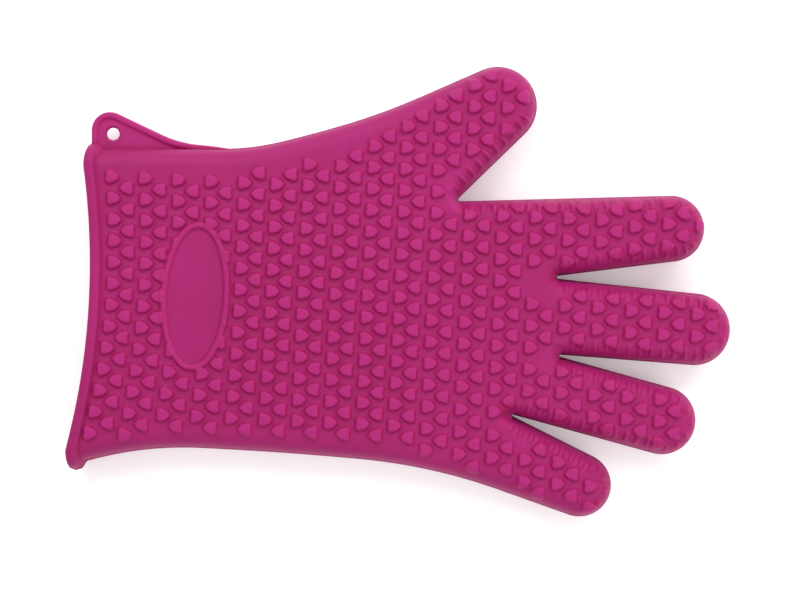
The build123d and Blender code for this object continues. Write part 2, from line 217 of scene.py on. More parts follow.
def tangent_arcs(start, along, ends, step):
    """A chain of arcs through the ends, each tangent to the one before."""
    out = [np.asarray(start)[None]]
    start, along = np.asarray(start, float), np.asarray(along, float)
    for end in ends:
        chord = np.asarray(end) - start
        bend = atan2(along[0] * chord[1] - along[1] * chord[0], float(along @ chord))
        radius = np.linalg.norm(chord) / (2 * sin(bend))
        centre = start + left_of(along) * radius
        first = atan2(*(start - centre)[::-1])
        points = arc_points(centre, abs(radius), first, 2 * bend, step)
        out.append(points[1:])
        turned = np.array([[cos(2 * bend), -sin(2 * bend)], [sin(2 * bend), cos(2 * bend)]])
        start, along = points[-1], turned @ along
    return np.concatenate(out)


def side_outline(step):
    """The two long sides and the digits, from the sleeve's low end round to its top end.
    Returns the points and, for each, whether its flank has ribs and the studs' margin."""
    parts, ribs, margins, stations = [], [], [], []

    def put(points, rib, margin, origin=(0, 0)):
        """Adds points; their stations are measured from the origin, where ribs start."""
        parts.append(points)
        ribs.append(np.broadcast_to(rib, len(points)))
        margins.append(np.broadcast_to(margin, len(points)))
        stations.append(np.linalg.norm(points - np.asarray(origin), axis=1))

    def low_margin(points):
        return np.interp(points[:, 0], *LOW_MARGIN)

    def top_margin(points):
        return np.interp(points[:, 0], *TOP_MARGIN)

    start, along = side(DIGITS[-1], -1)
    long_side = tangent_arcs(start - along * LITTLE_STRAIGHT, -along, LOW_SIDE, step)[::-1]
    put(long_side, 0.0, low_margin(long_side))
    flank = line_points(start - along * LITTLE_STRAIGHT, start, step)[1:]
    put(flank, 0.0, low_margin(flank))
    for number in reversed(range(len(DIGITS))):
        digit = DIGITS[number]
        low, _ = side(digit, -1)
        top, top_along = side(digit, 1)
        first = atan2(*(low - digit.tip)[::-1])
        turn = (atan2(*(top - digit.tip)[::-1]) - first) % (2 * pi)
        arc = arc_points(digit.tip, digit.radius, first, turn, step)[1:-1]
        share = np.linspace(0, 1, len(arc))
        ends = RIB_ROUND_END / turn
        rib = (share < ends) * (number < len(DIGITS) - 1) + (share > 1 - ends) * (number > 0)
        margin = np.where(share < 0.5, *FLANK_MARGIN[digit.name])
        if number == 0:
            margin = np.where(share > 0.5, top_margin(arc), margin)
        if number == len(DIGITS) - 1:
            margin = np.where(share < 0.5, low_margin(arc), margin)
        put(arc[share < 0.5], rib[share < 0.5].astype(float), margin[share < 0.5], low)
        put(arc[share >= 0.5], rib[share >= 0.5].astype(float), margin[share >= 0.5], top)
        if number == 0:
            break
        neighbour_start, neighbour_along = side(DIGITS[number - 1], -1)
        corner = crossing(top, top_along, neighbour_start, neighbour_along)
        bisector = top_along + neighbour_along
        bisector = bisector / np.linalg.norm(bisector)
        turned = top_along[0] * neighbour_along[1] - top_along[1] * neighbour_along[0]
        half = 0.5 * abs(atan2(turned, float(top_along @ neighbour_along)))
        corner_round = CROTCH_ROUNDS[number - 1]
        reach = corner_round / tan(half)
        own, next_own = FLANK_MARGIN[digit.name][1], FLANK_MARGIN[DIGITS[number - 1].name][0]
        put(line_points(top, corner + top_along * reach, step), 1.0, own, top)
        centre = corner + bisector * corner_round / sin(half)
        begin = atan2(*(corner + top_along * reach - centre)[::-1])
        swing = -(pi - 2 * half)
        put(arc_points(centre, corner_round, begin, swing, step / 4)[1:-1], 1.0, own, top)
        flank = line_points(corner + neighbour_along * reach, neighbour_start, step)
        put(flank, 1.0, next_own, neighbour_start)
    start, along = side(DIGITS[0], 1)
    flank = line_points(start, start - along * THUMB_STRAIGHT, step)
    put(flank, 0.0, top_margin(flank))
    long_side = tangent_arcs(start - along * THUMB_STRAIGHT, -along, TOP_SIDE, step)[1:]
    put(long_side, 0.0, top_margin(long_side))
    return [np.concatenate(values) for values in (parts, ribs, margins, stations)]


def cuff_distance(points):
    """How far into the glove a point is from the cuff's arc."""
    return np.hypot(points[:, 0] - CUFF_CENTRE[0], points[:, 1] - CUFF_CENTRE[1]) - CUFF_RADIUS


sides, side_ribs, side_margins, side_stations = side_outline(0.6)
side_lengths = np.concatenate([[0], np.cumsum(np.linalg.norm(np.diff(sides, axis=0), axis=1))])
kept = np.flatnonzero(cuff_distance(sides) > 0)
visible_sides = sides[kept[0]:kept[-1] + 1]


def closest_on_sides(points, chunk=4000):
    """Distance to the outline, the station along it, its ribs and its margin, for each point."""
    starts, ends = sides[:-1], sides[1:]
    spans = ends - starts
    squares = (spans ** 2).sum(1)
    distance = np.empty(len(points))
    along = np.empty(len(points))
    rib = np.empty(len(points))
    margin = np.empty(len(points))
    for low in range(0, len(points), chunk):
        block = points[low:low + chunk]
        offset = block[:, None, :] - starts[None]
        share = np.clip((offset * spans[None]).sum(2) / squares[None], 0, 1)
        gap = offset - share[:, :, None] * spans[None]
        apart = (gap ** 2).sum(2)
        best = apart.argmin(1)
        rows = np.arange(len(block))
        distance[low:low + chunk] = np.sqrt(apart[rows, best])
        step_along = side_stations[best + 1] - side_stations[best]
        jump = np.abs(step_along) > 2
        gained = np.where(jump, 0, share[rows, best] * step_along)
        along[low:low + chunk] = side_stations[best] + gained
        rib[low:low + chunk] = side_ribs[best]
        margin[low:low + chunk] = side_margins[best]
    return distance, along, rib, margin


def inside(points, loop, chunk=4000):
    """Whether each point is inside a closed polygon."""
    x0, y0 = loop[:, 0], loop[:, 1]
    x1, y1 = np.roll(x0, -1), np.roll(y0, -1)
    out = np.empty(len(points), bool)
    for low in range(0, len(points), chunk):
        x, y = points[low:low + chunk, 0, None], points[low:low + chunk, 1, None]
        spans = (y0 > y) != (y1 > y)
        with np.errstate(divide="ignore", invalid="ignore"):
            cross = x < (x1 - x0) * (y - y0) / (y1 - y0) + x0
        out[low:low + chunk] = (spans & cross).sum(1) % 2 == 1
    return out


# ======================= the studs =======================

NOTCH_DEEP = 0.5
NOTCH_WIDE = 0.36      # as an angle, in radians


def stud_radius(angles):
    """The radius of a heart's outline at each angle from its point."""
    tip, tip_round = np.array([2.2, 0.0]), 0.9
    waist, waist_round = np.array([0.25, 0.0]), 2.3
    lobes, lobe_round = [np.array([-1.2, 1.15]), np.array([-1.2, -1.15])], 1.65
    ray = np.stack([np.cos(angles), np.sin(angles)], 1)
    low, high = np.zeros(len(angles)), np.full(len(angles), 4.0)
    pairs = [(tip, tip_round, waist, waist_round), (waist, waist_round, lobes[0], lobe_round),
             (waist, waist_round, lobes[1], lobe_round), (lobes[0], lobe_round, lobes[1], lobe_round)]
    for _ in range(24):
        middle = (low + high) / 2
        points = ray * middle[:, None]
        within = np.zeros(len(angles), bool)
        for a, ra, b, rb in pairs:
            span = b - a
            share = np.clip(((points - a) @ span) / (span @ span), 0, 1)
            gap = np.linalg.norm(points - a - share[:, None] * span, axis=1)
            within |= gap < ra + (rb - ra) * share
        low = np.where(within, middle, low)
        high = np.where(within, high, middle)
    from_notch = np.abs(angles % (2 * pi) - pi)
    return low - NOTCH_DEEP * np.exp(-(from_notch / NOTCH_WIDE) ** 2)


ANGLES = np.linspace(0, 2 * pi, 361)
RADII = stud_radius(ANGLES)


def smooth(value):
    value = np.clip(value, 0, 1)
    return value * value * (3 - 2 * value)


def bow(x, y):
    """The columns of studs beside the cuff follow its hollow edge."""
    near_cuff = np.clip((BOW_END_X - x) / BOW_LENGTH, 0, 1)
    return (BOW_HIGH - (y - BOW_MIDDLE_Y) ** 2 / BOW_SPREAD) * near_cuff


def oval_gap(points):
    """The signed distance from the middle line of the oval's band, negative inside."""
    dx, dy = points[:, 0] - OVAL_CENTRE[0], points[:, 1] - OVAL_CENTRE[1]
    u = dx * cos(OVAL_TILT) + dy * sin(OVAL_TILT)
    v = dy * cos(OVAL_TILT) - dx * sin(OVAL_TILT)
    size = np.hypot(u / OVAL_HALF[0], v / OVAL_HALF[1]) + 1e-9
    slope = np.hypot(u / OVAL_HALF[0] ** 2, v / OVAL_HALF[1] ** 2) / size
    return (size - 1) / np.maximum(slope, 1e-3)


def stretch(u):
    """Where a column is, with the columns a little closer across the palm."""
    return u - CLOSER_BY * min(max(u, 0.0), CLOSER_LENGTH)


def dip(x, y):
    """How much lower the rows run towards the little finger."""
    below = DIP_TOP_Y - y - DIP_SLANT * max(x - DIP_SLANT_X, 0.0)
    share = min(max(x / DIP_LENGTH, 0.0), 1.0)
    return min(DIP_SHARE * max(below, 0.0) * share, DIP_MOST)


def slip(x, y):
    """How far the studs of two of the fingers stand off the grid."""
    point = np.array([[x, y]])
    for number, table in SLIPS.items():
        digit = DIGITS[number]
        if behind_tip(digit, point)[0] < digit.root and belongs(number, point)[0]:
            return float(np.interp(x, *table))
    return 0.0


def stud_places(loop):
    """Each stud's centre and the angle that it points at."""
    rows = []
    for column in range(-8, 17):
        for row in range(-18, 12):
            for shift_x, shift_y, turn in ((0, 0, pi), (-STUD_GAP_X, -STUD_PITCH_Y / 2, 0.0)):
                u, v = stretch(column * STUD_PITCH_X + shift_x), row * STUD_PITCH_Y + shift_y
                x = FIRST_STUD[0] + u * cos(STUD_TILT) - v * sin(STUD_TILT)
                y = FIRST_STUD[1] + u * sin(STUD_TILT) + v * cos(STUD_TILT)
                y = y + FAN * max(x, 0.0) * (y - FAN_MIDDLE_Y)
                y = y - dip(x, y)
                y = y + slip(x, y)
                rows.append((x + float(bow(x, y)), y, turn + STUD_TILT))
    places = np.array(rows)
    places = places[inside(places[:, :2], loop)]
    distance, _, _, margin = closest_on_sides(places[:, :2])
    keep = (distance > margin) & (cuff_distance(places[:, :2]) > BEAD_WIDE + 3.4)
    for number in range(len(DIGITS) - 1):
        p, u = side(DIGITS[number], -1)
        q, v = side(DIGITS[number + 1], 1)
        web = crossing(p, u, q, v)
        keep &= np.linalg.norm(places[:, :2] - web, axis=1) > WEB_BARE[DIGITS[number].name]
    return places[keep]


# ======================= the plan mesh =======================

def sampled(loop, step):
    """A polyline again, at even steps, with its two ends kept."""
    lengths = np.concatenate([[0], np.cumsum(np.linalg.norm(np.diff(loop, axis=0), axis=1))])
    count = max(2, int(round(lengths[-1] / step)))
    at = np.linspace(0, lengths[-1], count + 1)
    return np.stack([np.interp(at, lengths, loop[:, 0]), np.interp(at, lengths, loop[:, 1])], 1)


def cuff_edge(step):
    """The cuff's edge in plan from its top corner to its low corner, and where the sides end."""
    low_corner, top_corner = visible_sides[0], visible_sides[-1]
    low_end = visible_sides[np.argmax(cuff_distance(visible_sides[:200]) > CUFF_CORNER)]
    tops = visible_sides[-200:]
    top_end = tops[np.max(np.flatnonzero(cuff_distance(tops) > CUFF_CORNER))]
    span = np.linspace(top_corner[1] - CUFF_CORNER_LONG, low_corner[1] + CUFF_CORNER_LONG, 400)
    x = CUFF_CENTRE[0] + np.sqrt(CUFF_RADIUS ** 2 - (span - CUFF_CENTRE[1]) ** 2)
    arc = np.stack([x, span], 1)
    turns = np.linspace(0, pi / 2, 14)[1:-1]
    top_round = np.stack([top_end[0] + (arc[0, 0] - top_end[0]) * np.sin(turns),
                          top_end[1] + (arc[0, 1] - top_end[1]) * (1 - np.cos(turns))], 1)
    low_round = np.stack([arc[-1, 0] + (low_end[0] - arc[-1, 0]) * (1 - np.cos(turns)),
                          arc[-1, 1] + (low_end[1] - arc[-1, 1]) * np.sin(turns)], 1)
    edge = np.concatenate([top_end[None], top_round, arc, low_round, low_end[None]])
    return sampled(edge, step), low_end, top_end


edge, low_end, top_end = cuff_edge(0.8)
first_side = int(np.argmin(np.linalg.norm(sides[:300] - low_end, axis=1)))
last_side = len(sides) - 300 + int(np.argmin(np.linalg.norm(sides[-300:] - top_end, axis=1)))
boundary_sides = sides[first_side:last_side + 1]
boundary = np.concatenate([boundary_sides, edge[1:-1]])
EDGE_START = len(boundary_sides)
edge_tree = KDTree(len(edge))
for number, point in enumerate(edge):
    edge_tree.insert((point[0], point[1], 0), number)
edge_tree.balance()


def from_edge(points):
    """The distance to the cuff's edge, worked out only near it."""
    out = np.full(len(points), 99.0)
    near = np.flatnonzero(points[:, 0] < CUFF_CENTRE[0] + CUFF_RADIUS + 12)
    for index in near:
        found = edge_tree.find((points[index, 0], points[index, 1], 0))
        nearest = found[1]
        best = found[2]
        for other in (nearest - 1, nearest + 1):
            if 0 <= other < len(edge):
                a, b = edge[nearest], edge[other]
                share = np.clip(((points[index] - a) @ (b - a)) / ((b - a) @ (b - a)), 0, 1)
                best = min(best, np.linalg.norm(points[index] - a - share * (b - a)))
        out[index] = best
    return out


GRID_X = (-142, 138)
GRID_Y = (-94, 94)


def grid(step):
    """A hexagonal grid over the whole glove."""
    xs = np.arange(*GRID_X, step)
    ys = np.arange(*GRID_Y, step * sqrt(3) / 2)
    points = []
    for row, y in enumerate(ys):
        points.append(np.stack([xs + (row % 2) * step / 2, np.full(len(xs), y)], 1))
    return np.concatenate(points)


def rings(distances, step):
    """Points on lines that run parallel to the outline."""
    out = []
    tangents = np.gradient(sides, axis=0)
    tangents /= np.linalg.norm(tangents, axis=1)[:, None]
    inward = np.stack([-tangents[:, 1], tangents[:, 0]], 1)
    for distance in distances:
        at = np.arange(0, side_lengths[-1], step)
        x = np.interp(at, side_lengths, sides[:, 0])
        y = np.interp(at, side_lengths, sides[:, 1])
        nx = np.interp(at, side_lengths, inward[:, 0])
        ny = np.interp(at, side_lengths, inward[:, 1])
        points = np.stack([x + nx * distance, y + ny * distance], 1)
        gap = closest_on_sides(points)[0]
        out.append(points[np.abs(gap - distance) < 0.03 + 0.01 * distance])
    return np.concatenate(out)


class Spread:
    """Collects points that stay a little apart from each other."""

    def __init__(self, cell=0.5):
        self.cell, self.cells, self.points = cell, {}, []

    def add(self, points, apart):
        reach = int(np.ceil(apart / self.cell))
        for x, y in points:
            i, j = int(x // self.cell), int(y // self.cell)
            free = True
            for di in range(-reach, reach + 1):
                for dj in range(-reach, reach + 1):
                    for other in self.cells.get((i + di, j + dj), ()):
                        px, py = self.points[other]
                        if (px - x) ** 2 + (py - y) ** 2 < apart * apart:
                            free = False
                            break
                    if not free:
                        break
                if not free:
                    break
            if free:
                self.cells.setdefault((i, j), []).append(len(self.points))
                self.points.append((x, y))


# Rings of mesh points on and round a stud: the share of its radius, and how many points
STUD_RINGS = ((0.0, 1), (0.45, 10), (0.72, 17), (0.86, 22),
              (0.95, 24), (1.04, 24), (1.14, 24), (1.26, 20))


def oval_line(gap, count):
    angles = np.linspace(0, 2 * pi, count, endpoint=False)
    u, v = (OVAL_HALF[0] + gap) * np.cos(angles), (OVAL_HALF[1] + gap) * np.sin(angles)
    return np.stack([OVAL_CENTRE[0] + u * cos(OVAL_TILT) - v * sin(OVAL_TILT),
                     OVAL_CENTRE[1] + u * sin(OVAL_TILT) + v * cos(OVAL_TILT)], 1)


def stud_points(places):
    """Rings of points on and round each stud."""
    out = []
    for share, count in STUD_RINGS:
        angles = np.arange(count) * 2 * pi / count
        radii = np.interp(angles, ANGLES, RADII) * share
        u, v = radii * np.cos(angles), radii * np.sin(angles)
        turn = places[:, 2, None]
        x = places[:, 0, None] + u * np.cos(turn) - v * np.sin(turn)
        y = places[:, 1, None] + u * np.sin(turn) + v * np.cos(turn)
        out.append(np.stack([x.ravel(), y.ravel()], 1))
    return np.concatenate(out)


def triangulate(points, loop_count):
    """A triangle mesh of the plan, with the first loop_count points as its boundary."""
    verts = [Vector((float(x), float(y))) for x, y in points]
    result = delaunay_2d_cdt(verts, [], [list(range(loop_count))], 1, 1e-5)
    co = np.array([(v.x, v.y) for v in result[0]])
    faces = np.array([f for f in result[2] if len(f) == 3])
    a, b, c = co[faces[:, 0]], co[faces[:, 1]], co[faces[:, 2]]
    turned = (b - a)[:, 0] * (c - a)[:, 1] - (b - a)[:, 1] * (c - a)[:, 0] < 0
    faces[turned] = faces[turned][:, ::-1]
    return co, faces


# The mesh follows these lines: how far each lies from the sides, from the cuff's edge and
# from the middle of the oval's band. NEAR_ values say how close two mesh points may come.
SIDE_LINES = (0.22, 0.6, 1.0, 1.3, 1.8, 2.5, 3.3, 4.2, 5.2, 6.3, 7.5)
BEAD_LINES = (0.25, 0.7, 1.3, 2.1, 2.9, 3.6, 4.1, 4.5, 5.0, 5.7)
OVAL_LINES = (-2.0, -1.5, -1.1, -0.6, 0.0, 0.6, 1.1, 1.5, 2.0)
OVAL_LINE_POINTS = 150
FILL_STEP = 1.25
FILL_FROM = 7.9        # from the sides
NEAR_BEAD, NEAR_OVAL, NEAR_STUD, NEAR_SIDE, NEAR_FILL = 0.2, 0.3, 0.28, 0.34, 0.62

studs = stud_places(boundary)
spread = Spread()
spread.add(boundary, 0.0)
bead_lines = []
edge_tangent = np.gradient(edge, axis=0)
edge_tangent /= np.linalg.norm(edge_tangent, axis=1)[:, None]
edge_inward = np.stack([-edge_tangent[:, 1], edge_tangent[:, 0]], 1)
for depth in BEAD_LINES:
    line = edge + edge_inward * depth
    line = line[inside(line, boundary)]
    bead_lines.append(line[np.abs(from_edge(line) - depth) < 0.06])
spread.add(np.concatenate(bead_lines), NEAR_BEAD)
for gap in OVAL_LINES:
    spread.add(oval_line(gap, OVAL_LINE_POINTS), NEAR_OVAL)
spread.add(stud_points(studs), NEAR_STUD)
near_side = rings(SIDE_LINES, RIB_PITCH / 8)
near_side = near_side[inside(near_side, boundary)]
spread.add(near_side, NEAR_SIDE)
filler = grid(FILL_STEP)
filler = filler[inside(filler, boundary)]
filler_gap = closest_on_sides(filler)[0]
spread.add(filler[filler_gap > FILL_FROM], NEAR_FILL)
plan, plan_faces = triangulate(np.array(spread.points), len(boundary))
print("plan", len(plan), len(plan_faces), "studs", len(studs))


# ======================= heights =======================

def swell(points):
    x, y = points[:, 0], points[:, 1]
    return CROWN_HIGH * np.exp(-((x + 22) / 72) ** 2 - (y / 46) ** 2)


def roll(distance):
    share = np.clip(distance / ROLL_WIDE, 0, 1)
    return (1 - (1 - share) ** ROLL_POWER) ** (1 / ROLL_POWER)


def base_height(distance):
    """How high the bare skin stands over the parting plane, without the flange."""
    return HALF_THICK * roll(distance)


def skin_height(distance):
    """The same with the thin flange at the parting line."""
    flange = FLANGE_HALF * np.sqrt(1 - (1 - np.clip(distance / (FLANGE_WIDE * 0.6), 0, 1)) ** 2)
    return flange + (HALF_THICK - FLANGE_HALF) * roll(np.clip(distance - FLANGE_WIDE, 0, None) * 1.12)


STUD_REACH = 4.1       # no stud's slope reaches further from its middle


def stud_heights(points):
    """The height of the nearest stud at each point, and how far up its side the point is."""
    tree = KDTree(len(studs))
    for number, (x, y, _) in enumerate(studs):
        tree.insert((x, y, 0), number)
    tree.balance()
    height = np.zeros(len(points))
    share = np.full(len(points), 9.0)
    for index, (x, y) in enumerate(points):
        for _, number, gap in tree.find_n((x, y, 0), 2):
            if gap > STUD_REACH:
                continue
            sx, sy, turn = studs[number]
            angle = (atan2(y - sy, x - sx) - turn) % (2 * pi)
            share[index] = min(share[index], gap / np.interp(angle, ANGLES, RADII))
    height = smooth((1.13 - share) / 0.27) * (1 - 0.08 * np.clip(share, 0, 1) ** 2)
    return height * STUD_HIGH, share


BUMP_FROM_STUD = 3.4


def tip_bumps():
    """The small round bumps near the ends of the fingers, where no stud is in the way."""
    out = []
    for digit in DIGITS[1:]:
        for number, angle in enumerate(BUMP_ANGLES):
            if digit.name == "little" and number == 0:
                continue
            along = heading(axis_angle(digit) + angle)
            inset = BUMP_IN + 0.5 * (number % 2)
            place = np.array(digit.tip) + along * (digit.radius - inset)
            if np.min(np.linalg.norm(studs[:, :2] - place, axis=1)) > BUMP_FROM_STUD:
                out.append(place)
    return out


BUMPS = tip_bumps()


def features(points, distance, along, rib_side, with_oval):
    """Everything that stands on the skin: its height, and a painted shade for the hollows at its
    feet.
    """
    stud, share = stud_heights(points)
    # painted shade: the hollows round the feet of the studs, the oval band, the ribs, the edge band
    # and the bumps are coloured darker
    crevice = np.exp(-((share - 1.07) / 0.12) ** 2)
    if with_oval:
        gap = oval_gap(points)
        stud = stud * smooth((gap + 0.4) / 0.8)
        crevice = crevice * smooth((gap + 0.4) / 0.8)
        band = OVAL_HIGH * smooth((OVAL_BAND / 2 + 0.35 - np.abs(gap)) / 0.95)
        stud = np.maximum(stud, band)
        foot_gap = np.abs(gap) - OVAL_BAND / 2 - 0.25
        crevice = np.maximum(crevice, 0.8 * np.exp(-(foot_gap / 0.25) ** 2))
    place = along / RIB_PITCH
    off = np.abs(place - np.round(place)) * RIB_PITCH
    window = smooth((distance - RIB_FROM) / 0.5) * smooth((RIB_TO - distance) / 0.9) * rib_side
    rib = RIB_HIGH * smooth((RIB_HALF + 0.55 - off) / 0.6) * window
    foot = RIB_HALF + 0.5
    crevice = np.maximum(crevice, window * np.exp(-((off - foot) / 0.3) ** 2))
    band = EDGE_BAND_HIGH * rib_side * smooth(distance / 0.4)
    band = band * smooth((EDGE_BAND + 0.4 - distance) / 0.5)
    band_foot = np.exp(-((distance - EDGE_BAND - 0.4) / 0.3) ** 2)
    crevice = np.maximum(crevice, 0.55 * rib_side * band_foot)
    low = np.maximum(rib, band)
    for x, y in BUMPS:
        away = np.hypot(points[:, 0] - x, points[:, 1] - y) / BUMP_ROUND
        low = np.maximum(low, BUMP_HIGH * smooth((1.25 - away) / 0.9))
        crevice = np.maximum(crevice, np.exp(-((away - 1.15) / 0.25) ** 2))
    return np.maximum(stud, low), crevice


def bead_height(depth):
    share = np.clip(depth / BEAD_WIDE, 0, 1)
    bead = np.sqrt(np.clip(1 - (2 * share - 1) ** 2, 0, 1)) ** 0.8
    return np.where(depth < BEAD_WIDE, bead, 0)


def bead_groove(depth):
    return np.exp(-((depth - BEAD_WIDE - 0.35) / 0.45) ** 2)


def bead_swell(points, depth, distance):
    """The bead also stands out sideways where it folds round the sides of the cuff."""
    out = points.copy()
    outward = np.where(points[:, 1] > 0, 1.0, -1.0)
    past = smooth((BEAD_WIDE + 0.6 - depth) / BEAD_SIDE_FADE)
    out[:, 1] += outward * BEAD_SIDE * past * np.clip(1 - distance / 9, 0, 1)
    return out


def face_normals(co, faces):
    a, b, c = co[faces[:, 0]], co[faces[:, 1]], co[faces[:, 2]]
    return np.cross(b - a, c - a)


def vertex_normals(co, faces):
    normals = np.zeros_like(co)
    cross = face_normals(co, faces)
    for corner in range(3):
        np.add.at(normals, faces[:, corner], cross)
    return normals / np.maximum(np.linalg.norm(normals, axis=1), 1e-12)[:, None]


# ---- the outer skin ----
count = len(plan)
on_side = np.zeros(count, bool)
on_side[:EDGE_START] = True
distance, along, rib_side, _ = closest_on_sides(plan)
distance[:EDGE_START] = 0
depth = from_edge(plan)
depth[EDGE_START:len(boundary)] = 0
depth[[0, EDGE_START - 1]] = 0
front_feature, front_crevice_shade = features(plan, distance, along, rib_side, True)
back_feature, back_crevice_shade = features(plan, distance, along, rib_side, False)
bead = (BEAD_HIGH * bead_height(depth) - 0.3 * bead_groove(depth)) * smooth(distance / 3.0)
# painted shade: the groove beside the cuff's bead is coloured darker
groove_shade = 0.9 * bead_groove(depth) * smooth(distance / 2.0)
front_crevice_shade = np.maximum(front_crevice_shade, groove_shade)
back_crevice_shade = np.maximum(back_crevice_shade, groove_shade)
skin = skin_height(distance)
moved = bead_swell(plan, depth, distance)
front_z = MID_Z + skin + swell(plan) * roll(distance) + front_feature + bead
back_z = MID_Z - skin - back_feature - bead
front_co = np.column_stack([moved, front_z])
back_co = np.column_stack([moved, np.maximum(back_z, 0.0)])
front_co[on_side, 2] = MID_Z
back_of = np.where(on_side, np.arange(count), np.arange(count) + count)
outer_co = np.concatenate([front_co, back_co])
outer_faces = np.concatenate([plan_faces, back_of[plan_faces][:, ::-1]])
crevice = np.concatenate([front_crevice_shade, back_crevice_shade])
# painted light: each point's share of the stud height, which sets how much lighter it is coloured
raised = np.concatenate([front_feature, back_feature]) / STUD_HIGH

# ---- the inner skin: the bare surface moved inwards by the wall, on a coarser mesh ----
INNER_STEP = 2.6
INNER_SIDE_STEP = 1.5
INNER_SIDE_LINES = (0.5, 1.4, 2.8, 4.6, 6.6)
INNER_LINE_STEP = 1.6
INNER_FILL_FROM = 7.4
NEAR_INNER_SIDE, NEAR_INNER_FILL = 0.8, 1.3
# painted shade: the inner surface of the glove is coloured a little darker, for the shade inside its
# hollow
INNER_SHADE = 0.3    # the inside is a little darker
coarse = Spread(1.0)
coarse_side = sampled(boundary_sides, INNER_SIDE_STEP)
coarse_boundary = np.concatenate([coarse_side, edge[1:-1]])
coarse.add(coarse_boundary, 0.0)
inner_rings = rings(INNER_SIDE_LINES, INNER_LINE_STEP)
coarse.add(inner_rings[inside(inner_rings, boundary)], NEAR_INNER_SIDE)
inner_grid = grid(INNER_STEP)
inner_grid = inner_grid[inside(inner_grid, boundary)]
inner_gap = closest_on_sides(inner_grid)[0]
coarse.add(inner_grid[inner_gap > INNER_FILL_FROM], NEAR_INNER_FILL)
inner_plan, inner_faces = triangulate(np.array(coarse.points), len(coarse_boundary))
inner_count = len(inner_plan)
inner_distance = closest_on_sides(inner_plan)[0]
inner_distance[:len(coarse_side)] = 0
inner_depth = from_edge(inner_plan)
inner_depth[len(coarse_side):len(coarse_boundary)] = 0
inner_depth[[0, len(coarse_side) - 1]] = 0
inner_side = np.zeros(inner_count, bool)
inner_side[:len(coarse_side)] = True
lift = base_height(inner_distance)
inner_front = np.column_stack([inner_plan, MID_Z + lift + swell(inner_plan) * roll(inner_distance)])
inner_back = np.column_stack([inner_plan, MID_Z - lift])
inner_back_of = np.where(inner_side, np.arange(inner_count), np.arange(inner_count) + inner_count)
inner_co = np.concatenate([inner_front, inner_back])
inner_all = np.concatenate([inner_faces, inner_back_of[inner_faces][:, ::-1]])
inner_normals = vertex_normals(inner_co, inner_all)
taper = np.sqrt(np.clip(np.concatenate([inner_depth, inner_depth]) / 1.2, 0, 1))
inner_co = inner_co - inner_normals * (WALL * taper)[:, None]
shift = len(outer_co)
inner_index = np.arange(2 * inner_count) + shift
edge_points = np.arange(len(coarse_side), len(coarse_boundary))
matching = np.arange(EDGE_START, len(boundary))
inner_index[edge_points] = matching
inner_index[edge_points + inner_count] = matching + count
inner_index[[0, len(coarse_side) - 1]] = [0, EDGE_START - 1]
inner_map = inner_index[inner_all]

all_co = np.concatenate([outer_co, inner_co])
all_faces = np.concatenate([outer_faces, inner_map[:, ::-1]])
all_crevice_shade = np.concatenate([crevice, np.full(len(inner_co), INNER_SHADE)])
all_raised_light = np.concatenate([raised, np.zeros(len(inner_co))])
all_normals = vertex_normals(all_co, all_faces)

# ======================= which piece each face belongs to =======================

plan_of_face = all_co[all_faces].mean(1)[:, :2]
band_gap = oval_gap(plan_of_face)
depth_of_face = from_edge(plan_of_face)
is_outer = np.arange(len(all_faces)) < len(outer_faces)
is_front = is_outer & (np.arange(len(all_faces)) < len(plan_faces))


PALM_SPLIT_X = -20.0
piece_of_face = np.full(len(all_faces), -1)
pieces = ["cuff_skin", "palm_skin", "cuff_bead", "label_frame"]
piece_of_face[:] = np.where(plan_of_face[:, 0] < PALM_SPLIT_X, 0, 1)
piece_of_face[(depth_of_face < BEAD_WIDE + 0.3)] = 2
piece_of_face[is_front & (np.abs(band_gap) < OVAL_BAND / 2 + 0.5)] = 3


ROOT_LEAD = 1.6
for number, digit in enumerate(DIGITS):
    back = behind_tip(digit, plan_of_face)
    mine = belongs(number, plan_of_face) & (np.abs(beside_axis(digit, plan_of_face)) < 24)
    base_middle = (digit.root - DIGIT_HALF_ZONE + digit.middle + DIGIT_HALF_ZONE) / 2
    pieces += [digit.name + "_lower_skin", digit.name + "_tip_skin"]
    root_line = digit.root + DIGIT_HALF_ZONE + ROOT_LEAD
    piece_of_face[mine & (back < root_line)] = len(pieces) - 2
    piece_of_face[mine & (back < base_middle)] = len(pieces) - 1


# ======================= material =======================

def node(tree, kind, x=0, y=0, **values):
    item = tree.nodes.new(kind)
    item.location = (x, y)
    for name, value in values.items():
        setattr(item, name, value)
    return item


def srgb(r, g, b):
    """A display colour from 0 to 255 as the linear values that a shader takes."""
    out = []
    for channel in (r, g, b):
        c = channel / 255
        out.append(c / 12.92 if c <= 0.04045 else ((c + 0.055) / 1.055) ** 2.4)
    return (*out, 1.0)


